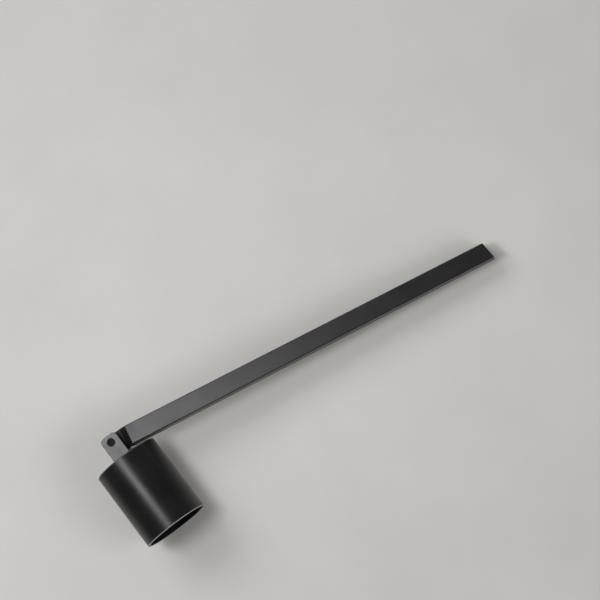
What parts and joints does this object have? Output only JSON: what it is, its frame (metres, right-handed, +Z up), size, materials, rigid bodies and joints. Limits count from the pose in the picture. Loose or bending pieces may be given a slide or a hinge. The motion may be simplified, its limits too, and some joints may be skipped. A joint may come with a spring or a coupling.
{
  "type": "candle snuffer",
  "caption": "Long-handled candle snuffer: a round cup-shaped bell, closed on top and open at its mouth, hinged in a fork on the end of a long tapered square handle cut at a slant.",
  "frame": {"origin": "under the middle of the snuffer's box, on the surface that it lies on", "axes": "+Z up; the bell's mouth faces -Y; the handle runs from the hinge towards +X"},
  "size_m": [0.196, 0.0496, 0.03],
  "materials": {
    "black_coat": "satin black coating with a fine grain",
    "fork_metal": "satin black coating over faintly brushed metal",
    "dark_steel": "blackened steel",
    "plain_steel": "plain spring steel",
    "washer_plastic": "matte natural nylon"
  },
  "bodies": {
    "handle": {"handle_tube": "black_coat", "hinge_tongue": "black_coat", "tip_plug": "black_coat"},
    "snuffer_head": {"bell": "black_coat", "hinge_fork": "fork_metal", "bell_screw": "dark_steel", "lock_washer": "plain_steel", "pivot_screw": "dark_steel", "pivot_nut": "dark_steel", "front_friction_washer": "washer_plastic", "rear_friction_washer": "washer_plastic"}
  },
  "joints": [
    {"name": "bell_hinge", "type": "hinge", "parent": "handle", "child": "snuffer_head", "pos_m": [-0.08305, 0.02142, 0.015], "axis": [-0.0553, 0, -0.9985], "range_deg": [-3, 208]}
  ]
}
